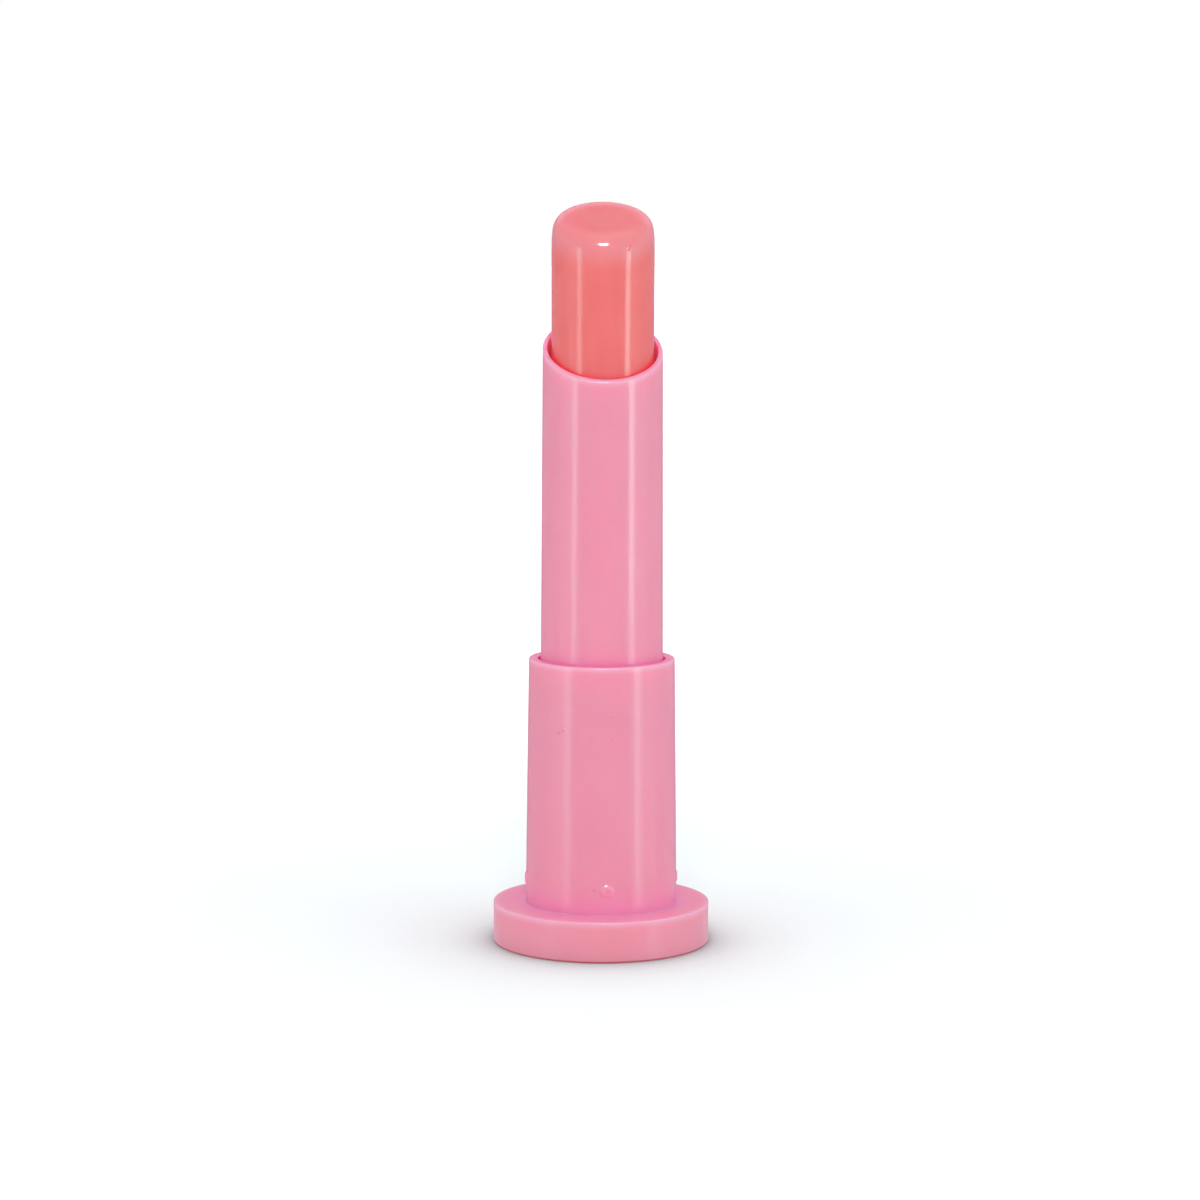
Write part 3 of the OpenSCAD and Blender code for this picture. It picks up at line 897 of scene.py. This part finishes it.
def pink_plastic(name, tint, deeper, roughness, rubs, pits=(), light=PINK_LIGHT):
    """The pink of one piece, with its own tints, roughness, rubs and pits, and the shared painted light and shade."""
    material, tree, shader = start_finish(name, light)
    colour = share(tree, tinted_body, {"Tint": tint, "Deeper Tint": deeper, "Cloud mm": 7.0})["Color"]
    # Painted light: a pale band along the upper edges, for light leaving the plastic and the cool light it mirrors.
    colour = tint_where(tree, share(tree, upper_edges, {"Width mm": 1.2})["Mask"], colour, PINK_PAINTED_EDGE_LIGHT)
    shut_in = share(tree, corners, {"Reach mm": 4.0, "Above mm": LEDGE_EDGE_Z})
    # Painted bounce light: a fuller tint where the piece is shut in.
    colour = tint_where(tree, shut_in["Corner"], colour, PINK_PAINTED_CORNER_LIGHT)
    # Painted glow: emission in the narrow gaps, though nothing there is a lamp.
    glow = tint_where(tree, shut_in["Gap"], BLACK, PINK_PAINTED_GAP_GLOW)
    tree.links.new(glow, shader.inputs["Emission Color"])
    # Painted contact shade: a thin darker, redder line along the foot's lower edge, just above the floor.
    contact_shade_mask = ramp(tree, surface_height(tree), CONTACT_SHADE_HIGH_Z * MM, CONTACT_SHADE_LOW_Z * MM)
    colour = tint_where(tree, contact_shade_mask, colour, PINK_PAINTED_CONTACT_SHADE)
    rough = {"Roughness Low": roughness - ROUGHNESS_DRIFT, "Roughness High": roughness + ROUGHNESS_DRIFT}
    marks = {"Width mm": 0.10, "Length mm": 1.2, "Patch mm": 4.5, "Amount": rubs}
    dress(tree, shader, colour, PINK_SKIN | rough, marks, pits)
    return material


TUBE_PITS = [
    (Vector((0.43, -8.04, 23.46)), 0.22), (Vector((0.43, -8.00, 26.05)), 0.16),
    (Vector((-4.67, -6.54, 24.34)), 0.20), (Vector((-5.10, -6.20, 24.0)), 0.30),
    (Vector((-1.4, -8.13, 7.14)), 0.3),
]
foot_pink = pink_plastic("foot_pink", [0.87, 0.325, 0.42, 1], [0.86, 0.315, 0.41, 1], 0.20, 0.2)
tube_pink = pink_plastic("tube_pink", [0.86, 0.314, 0.424, 1], [0.85, 0.304, 0.414, 1], 0.20, 0.3, TUBE_PITS)
sleeve_pink = pink_plastic("sleeve_pink", [0.86, 0.316, 0.424, 1], [0.85, 0.306, 0.414, 1], 0.18, 0.5)
plain_surface = PINK_LIGHT | {"Subsurface Weight": 0.0}
seam_pink = pink_plastic(
    "seam_pink", [0.95, 0.36, 0.52, 1], [0.94, 0.35, 0.50, 1], 0.20, 0.2, light=plain_surface
)
for piece, finish in (
    (foot_plate, foot_pink), (seam_flash, seam_pink), (tube_shell, tube_pink), (slanted_sleeve, sleeve_pink),
):
    piece.data.materials.append(finish)
print("pink plastic on four pieces")

# %% [markdown]
# ** Coral wax.** The balm is softer and more see-through than the plastic: light travels millimetres in it.
# Round the rim of its slanted face it is painted paler, fading over a few millimetres: painted light, for the
# light that leaves the wax near the rim and the cool light that the rounded edge mirrors. That mask is the
# distance from a ring. Its corners get the same painted bounce light and its gaps the same painted glow as the
# plastic. Two tiny blisters break the right stripe's upper end. Its skin is smooth from the mould, with soft,
# greasy waves.

# %% Coral wax
WAX_LIGHT = {"Subsurface Weight": 1.0, "Subsurface Scale": 1.6 * MM,
             "Subsurface Radius": (1.0, 0.30, 0.28), "Emission Strength": 1.0}
WAX_TINTS = {"Tint": [0.82, 0.198, 0.192, 1], "Deeper Tint": [0.80, 0.18, 0.178, 1], "Cloud mm": 5.0}
# Painted light: the paler rim, the fuller corners and the gap glow.
WAX_PAINTED_RIM_LIGHT, WAX_PAINTED_CORNER_LIGHT, WAX_PAINTED_GAP_GLOW = [0.80, 0.265, 0.285, 1], [0.97, 0.11, 0.12, 1], [0.25, 0.003, 0.006, 1]
RIM_DEPTH, RIM_FADE_FROM, RIM_FADE_TO, FACE_SHARE = 1.1, 0.1, 2.6, 0.9
WAX_BUMP_MM = 0.010
WAX_PITS = [(Vector((4.29, -2.31, 78.05)), 0.18)]
WAX_BLISTERS = [(Vector((2.47, -4.87, 76.06)), 0.24), (Vector((2.31, -4.98, 75.70)), 0.20)]


def painted_rim_light_mask(tree):
    """A painted-light mask: 1 on a ring just below the rim of the slanted face, fading up and down from it."""
    place = add(tree, "TexCoord").outputs["Object"]
    from_tip = add(tree, "VectorMath", {0: place, 1: tip_point}, operation="SUBTRACT").outputs[0]
    depth = add(tree, "VectorMath", {0: from_tip, 1: tip_up}, operation="DOT_PRODUCT").outputs["Value"]
    from_ring = add(tree, "Math", {0: depth, 1: RIM_DEPTH * MM}, operation="ADD").outputs[0]
    sideways = add(tree, "VectorMath", {0: place, 1: (1, 1, 0)}, operation="MULTIPLY").outputs[0]
    from_axis = add(tree, "VectorMath", {0: sideways}, operation="LENGTH").outputs["Value"]
    inward = add(tree, "Math", {0: BALM_R * MM, 1: from_axis}, operation="SUBTRACT").outputs[0]
    over_face = times(tree, inward, FACE_SHARE)
    both = add(tree, "CombineXYZ", {"X": from_ring, "Y": over_face}).outputs[0]
    away = add(tree, "VectorMath", {0: both}, operation="LENGTH").outputs["Value"]
    return ramp(tree, away, RIM_FADE_TO * MM, RIM_FADE_FROM * MM, interpolation_type="SMOOTHSTEP")


coral_wax, tree, shader = start_finish("coral_wax", WAX_LIGHT)
# Painted light: a paler ring round the rim of the slanted face.
colour = tint_where(tree, painted_rim_light_mask(tree), share(tree, tinted_body, WAX_TINTS)["Color"], WAX_PAINTED_RIM_LIGHT)
shut_in = share(tree, corners, {"Reach mm": 3.0, "Above mm": 0.0})
# Painted bounce light: a fuller tint where the wax is shut in.
colour = tint_where(tree, shut_in["Corner"], colour, WAX_PAINTED_CORNER_LIGHT)
# Painted glow: emission in the narrow gaps, though nothing there is a lamp.
tree.links.new(tint_where(tree, shut_in["Gap"], BLACK, WAX_PAINTED_GAP_GLOW), shader.inputs["Emission Color"])
dress(
    tree, shader, colour,
    {"Grain mm": 0.25, "Wave mm": 2.2, "Grain Share": 0.12, "Roughness Low": 0.14, "Roughness High": 0.17},
    {"Width mm": 0.15, "Length mm": 0.8, "Patch mm": 3.0, "Amount": 0.4}, WAX_PITS, WAX_BLISTERS, WAX_BUMP_MM,
)
balm_bullet.data.materials.append(coral_wax)
print("coral wax on the balm bullet, with", len(WAX_BLISTERS), "blisters and", len(WAX_PITS), "pinhole")

# %% [markdown]
# **The hidden pieces.** The cam and the carrier are white acetal, a slippery, faintly milky plastic, and the
# drag ring is black rubber with a thin film of grease. They keep their frame meshes and only change clothes.

# %% White acetal and greased rubber
acetal, tree, shader = start_finish("white_acetal", {
    "Specular IOR Level": 0.4, "Subsurface Weight": 0.6, "Subsurface Scale": 0.4 * MM,
    "Subsurface Radius": (1.0, 0.95, 0.85),
})
milky = {"Tint": [0.83, 0.82, 0.79, 1], "Deeper Tint": [0.80, 0.785, 0.75, 1], "Cloud mm": 5.0}
dress(
    tree, shader, share(tree, tinted_body, milky)["Color"],
    {"Grain mm": 0.15, "Wave mm": 2.5, "Grain Share": 0.3, "Roughness Low": 0.35, "Roughness High": 0.45},
    {"Width mm": 0.12, "Length mm": 1.5, "Patch mm": 3.0, "Amount": 0.6},
)
rubber, tree, shader = start_finish("greased_rubber", {"Specular IOR Level": 0.5, "Coat Roughness": 0.3})
black = {"Tint": [0.02, 0.02, 0.02, 1], "Deeper Tint": [0.012, 0.012, 0.012, 1], "Cloud mm": 1.5}
dress(
    tree, shader, share(tree, tinted_body, black)["Color"],
    {"Grain mm": 0.06, "Wave mm": 0.8, "Grain Share": 0.5, "Roughness Low": 0.55, "Roughness High": 0.75},
    {"Width mm": 0.05, "Length mm": 0.1, "Patch mm": 0.6, "Amount": 0.4},
)
for node, finish in (("spiral_tube", acetal), ("carrier_cup", acetal), ("drag_ring", rubber)):
    nodes[node].data.materials.clear()
    nodes[node].data.materials.append(finish)
print("hidden nodes dressed:", ", ".join(n for n in sorted(nodes) if not nodes[n].hide_render))

# %% [markdown]
# ## The studio
# The floor is a pale sheet, and catches the stick's shadow as any matt sheet does. The lamps light it only
# near the stick, so a glow that only the camera, a reflection or glass can see grows from there outwards
# and keeps it white up to the horizon. Round the foot there is no glow, so the shadow stays. Light that
# bounces between the pink foot and a white sheet would wash that shadow out, so a painted contact shadow is
# added: the sheet's colour is greyer where the foot shuts it in.

# %% Floor
FLOOR_W = 4000
SHEET_WHITE = [0.99, 0.985, 0.95, 1]
GLOW_NEAR, GLOW_FAR = 0.0, 0.6
GLOW_START_R, GLOW_FULL_R = 25, 220
CONTACT_REACH, CONTACT_PAINTED_SHADE_GREY = 30, 0.42
CONTACT_SHUT, CONTACT_OPEN = 0.45, 0.93
CONTACT_RAYS = 8


def sees_background(tree):
    """1 for the rays that should find a white background: from the camera, a reflection or glass."""
    path = add(tree, "LightPath").outputs
    return strongest(tree, [path["Is Camera Ray"], path["Is Glossy Ray"], path["Is Transmission Ray"]])


sheet = bmesh.new()
bmesh.ops.create_grid(sheet, x_segments=1, y_segments=1, size=FLOOR_W / 2 * MM)
floor = as_object(sheet, "floor")
floor.visible_glossy = False
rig.stage(floor)
pale, tree, shader = start_finish("pale_sheet", {
    "Roughness": 0.9, "Specular IOR Level": 0.0, "Emission Color": (1, 1, 1, 1),
})
# Painted contact shadow: the sheet turns grey where Ambient Occlusion finds the foot shutting it in.
openness = add(tree, "AmbientOcclusion", {"Distance": CONTACT_REACH * MM}, samples=CONTACT_RAYS).outputs["AO"]
open_floor = ramp(tree, openness, CONTACT_SHUT, CONTACT_OPEN)
sheet_colour = tint_where(tree, open_floor, [CONTACT_PAINTED_SHADE_GREY] * 3 + [1.0], SHEET_WHITE)
place = add(tree, "TexCoord").outputs["Object"]
from_stick = add(tree, "VectorMath", {0: place}, operation="LENGTH").outputs["Value"]
outward = ramp(
    tree, from_stick, GLOW_START_R * MM, GLOW_FULL_R * MM, GLOW_NEAR, GLOW_FAR,
    interpolation_type="SMOOTHSTEP",
)
glow = times(tree, sees_background(tree), outward)
fill(tree, shader, {"Base Color": sheet_colour, "Emission Strength": glow})
floor.data.materials.append(pale)
print(f"floor: {FLOOR_W} mm wide, white from {GLOW_FULL_R} mm out")

# %% [markdown]
# The world is white where the camera, a reflection or glass looks at it, and dimmer as a source of light,
# so that the lamps can still model the round forms.

# %% World
WORLD_LIGHT = 0.64

world = bpy.data.worlds.new("studio")
bpy.context.scene.world = world
world.use_nodes = True
tree = world.node_tree
soft_light = tree.nodes["Background"]
fill(tree, soft_light, {"Color": (1, 1, 1, 1), "Strength": WORLD_LIGHT})
white = add(tree, "Background", {"Color": (1, 1, 1, 1), "Strength": 1.0})
either = add(tree, "MixShader", {0: sees_background(tree), 1: soft_light.outputs[0], 2: white.outputs[0]})
tree.links.new(either.outputs[0], tree.nodes["World Output"].inputs["Surface"])
print("world light", WORLD_LIGHT)

# %% [markdown]
# Glossy plastic shows its surroundings at its outlines, where a white room would wash out its colour. As in
# a studio, a dim lilac curtain hangs round the set, so far out that no view shows it. It is there for
# reflections only: it neither blocks light nor throws a shadow. Its upper part pales towards the white room,
# so that no reflection has a hard edge there. The floor hides itself from reflections, so the lowest part of
# the curtain, which the foot mirrors at its outline, is as pale as the lit floor would be.

# %% Curtain
CURTAIN_R, CURTAIN_LOW_Z, CURTAIN_HIGH_Z = 1500, -1000, 4200
CURTAIN_STEPS = 64
CURTAIN_FADE_Z = 1800
CURTAIN_COLOUR = (0.66, 0.36, 0.46, 1)
GROUND_GLOW, GROUND_HIGH_Z, GROUND_LOW_Z = (0.82, 0.64, 0.73, 1), -290, -350

cloth = bmesh.new()
bmesh.ops.create_cone(
    cloth, cap_ends=False, segments=CURTAIN_STEPS, radius1=CURTAIN_R * MM, radius2=CURTAIN_R * MM,
    depth=(CURTAIN_HIGH_Z - CURTAIN_LOW_Z) * MM,
    matrix=Matrix.Translation((0, 0, (CURTAIN_LOW_Z + CURTAIN_HIGH_Z) / 2 * MM)),
)
curtain = as_object(cloth, "curtain")
for ray in ("camera", "diffuse", "transmission", "volume_scatter", "shadow"):
    setattr(curtain, "visible_" + ray, False)
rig.stage(curtain)
lilac, tree, shader = start_finish("lilac_cloth", {
    "Base Color": (0, 0, 0, 1), "Specular IOR Level": 0.0, "Emission Strength": 1.0,
})
height = surface_height(tree)
lit_from_above = ramp(tree, height, CURTAIN_FADE_Z * MM, CURTAIN_HIGH_Z * MM)
lit_from_ground = ramp(tree, height, GROUND_HIGH_Z * MM, GROUND_LOW_Z * MM)
hung = tint_where(tree, lit_from_above, CURTAIN_COLOUR, [1, 1, 1, 1])
tree.links.new(tint_where(tree, lit_from_ground, hung, GROUND_GLOW), shader.inputs["Emission Color"])
curtain.data.materials.append(lilac)
print(f"curtain: {CURTAIN_R} mm out, for reflections only")

# %% [markdown]
# Two tall strip lights, left and right in front of the stick, draw the two long stripes on every round
# wall. A wide dim panel outside each strip makes the stripe's outer side fade slowly. A key lamp above the
# camera lights the front, and a glint lamp in its place draws the short glints on the front edges. Two big
# cool lamps, overhead and high at the back, tint the upward faces. No lamp shows itself to the camera. The
# glint lamp shows in reflections only, and the overhead lamp in none, because the balm's face would mirror
# it.

# %% Lamps
CAMERA_TURN = math.radians(-4.5)


def lamp(name, turn, rise, distance, aim_z, width, height, radiance, colour=(1, 1, 1)):
    """An area lamp on a sphere round the stick: turn is from the front, and sizes are in millimetres."""
    data = bpy.data.lights.new(name, "AREA")
    data.shape = "RECTANGLE"
    data.size, data.size_y = width * MM, height * MM
    data.energy = radiance * math.pi * data.size * data.size_y
    data.color = colour
    light = bpy.data.objects.new(name, data)
    bpy.context.scene.collection.objects.link(light)
    away = Vector((math.sin(turn) * math.cos(rise), -math.cos(turn) * math.cos(rise), math.sin(rise)))
    light.location = (Vector((0, 0, aim_z)) + away * distance) * MM
    light.rotation_euler = (-away).to_track_quat("-Z", "Y").to_euler()
    light.visible_camera = False
    print(f"{name}: {data.energy:.2f} W")
    return light


STRIP_DISTANCE, STRIP_W, PANEL_W = 300, 60, 130
STRIP_LOW_Z, STRIP_HIGH_Z = -60, 115
LEFT_STRIP_TURN, RIGHT_STRIP_TURN = -53.5, 57
LEFT_PANEL_TURN, RIGHT_PANEL_TURN = -72, 77
STRIP_COLOUR = (0.48, 0.95, 0.88)
PANEL_RADIANCE = 0.55
KEY_RISE = math.radians(36)


def strip(name, turn, low_z, high_z, width, radiance, colour=(1, 1, 1)):
    """An upright strip light beside the stick, turned by degrees from the camera's side."""
    middle_z, height = (low_z + high_z) / 2, high_z - low_z
    turn = CAMERA_TURN + math.radians(turn)
    return lamp(name, turn, 0, STRIP_DISTANCE, middle_z, width, height, radiance, colour)


strip("left_strip", LEFT_STRIP_TURN, 0, STRIP_HIGH_Z, STRIP_W, radiance=3.6, colour=STRIP_COLOUR)
strip("right_strip", RIGHT_STRIP_TURN, 0, STRIP_HIGH_Z, STRIP_W, radiance=5.8, colour=STRIP_COLOUR)
strip("left_panel", LEFT_PANEL_TURN, STRIP_LOW_Z, STRIP_HIGH_Z, PANEL_W, PANEL_RADIANCE)
strip("right_panel", RIGHT_PANEL_TURN, STRIP_LOW_Z, STRIP_HIGH_Z, PANEL_W, PANEL_RADIANCE)
lamp("key", CAMERA_TURN, KEY_RISE, distance=350, aim_z=60, width=88, height=60, radiance=18)
glint = lamp(
    "glint", CAMERA_TURN, KEY_RISE, distance=350, aim_z=60, width=88, height=66, radiance=50,
    colour=(0.7, 0.95, 1),
)
glint.visible_diffuse = False
top = lamp(
    "cool_top", CAMERA_TURN + math.pi, math.radians(85), distance=350, aim_z=70, width=400, height=400,
    radiance=1.15, colour=(0.64, 0.81, 1),
)
top.visible_glossy = False
lamp(
    "cool_back", CAMERA_TURN + math.pi, math.radians(35), distance=400, aim_z=60, width=500, height=150,
    radiance=0.68, colour=(0.63, 0.77, 1),
)

# %% [markdown]
# The lens looks down a little, so a point low on the stick mirrors the strips where they would lie below the
# floor. Two dimmer strips hang there, for reflections only. The floor doesn't show in reflections, but it
# would still block their light, so it is taken out of their way with shadow linking: a collection names the
# objects that a lamp treats in its own way, and here it leaves out the floor.

# %% Lamps below the floor
low_strips = (
    strip("left_strip_foot", LEFT_STRIP_TURN, STRIP_LOW_Z, 0, STRIP_W, radiance=2.5, colour=STRIP_COLOUR),
    strip("right_strip_foot", RIGHT_STRIP_TURN, STRIP_LOW_Z, 0, STRIP_W, radiance=3.3, colour=STRIP_COLOUR),
)
out_of_the_way = bpy.data.collections.new("out_of_the_way")
out_of_the_way.objects.link(floor)
out_of_the_way.collection_objects[0].light_linking.link_state = "EXCLUDE"
for low_strip in low_strips:
    low_strip.visible_diffuse = False
    low_strip.light_linking.blocker_collection = out_of_the_way

# %% [markdown]
# ## The camera
# A long lens stands a little left of the stick's own front and looks slightly down. The tiny shift and roll
# put the stick where the photographer's framing had it.

# %% Camera
CAMERA_RISE, CAMERA_ROLL = math.radians(7.542), math.radians(0.18)
CAMERA_DISTANCE, CAMERA_AIM_Z = 380.4, 37.609
LENS, SENSOR_W = 105, 36
FRAME_W = 1200
OFF_CENTRE_PX = 2

camera_data = bpy.data.cameras.new("camera")
camera_data.lens = LENS
camera_data.sensor_width = SENSOR_W
camera_data.shift_x = -OFF_CENTRE_PX / FRAME_W
camera_data.clip_start, camera_data.clip_end = 10 * MM, 10_000 * MM
camera = bpy.data.objects.new("camera", camera_data)
bpy.context.scene.collection.objects.link(camera)
back = Vector((
    math.sin(CAMERA_TURN) * math.cos(CAMERA_RISE), -math.cos(CAMERA_TURN) * math.cos(CAMERA_RISE),
    math.sin(CAMERA_RISE),
))
camera.location = (Vector((0, 0, CAMERA_AIM_Z)) + back * CAMERA_DISTANCE) * MM
facing = (-back).to_track_quat("-Z", "Y").to_matrix() @ Matrix.Rotation(CAMERA_ROLL, 3, "Z")
camera.rotation_euler = facing.to_euler()
bpy.context.scene.camera = camera
print("camera at", [round(v / MM, 1) for v in camera.location])
bpy.context.scene.view_settings.view_transform = "Standard"

# %% Sizes, and the end
visual_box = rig.bounds()
with open("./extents.json", "w") as f:
    json.dump({"cad": [list(c) for c in frame_box], "visual": [list(c) for c in visual_box]}, f, indent=1)
for name, (low, high) in (("frame", frame_box), ("visual", visual_box)):
    print(name, [round(v / MM, 3) for v in (*low, *high)])
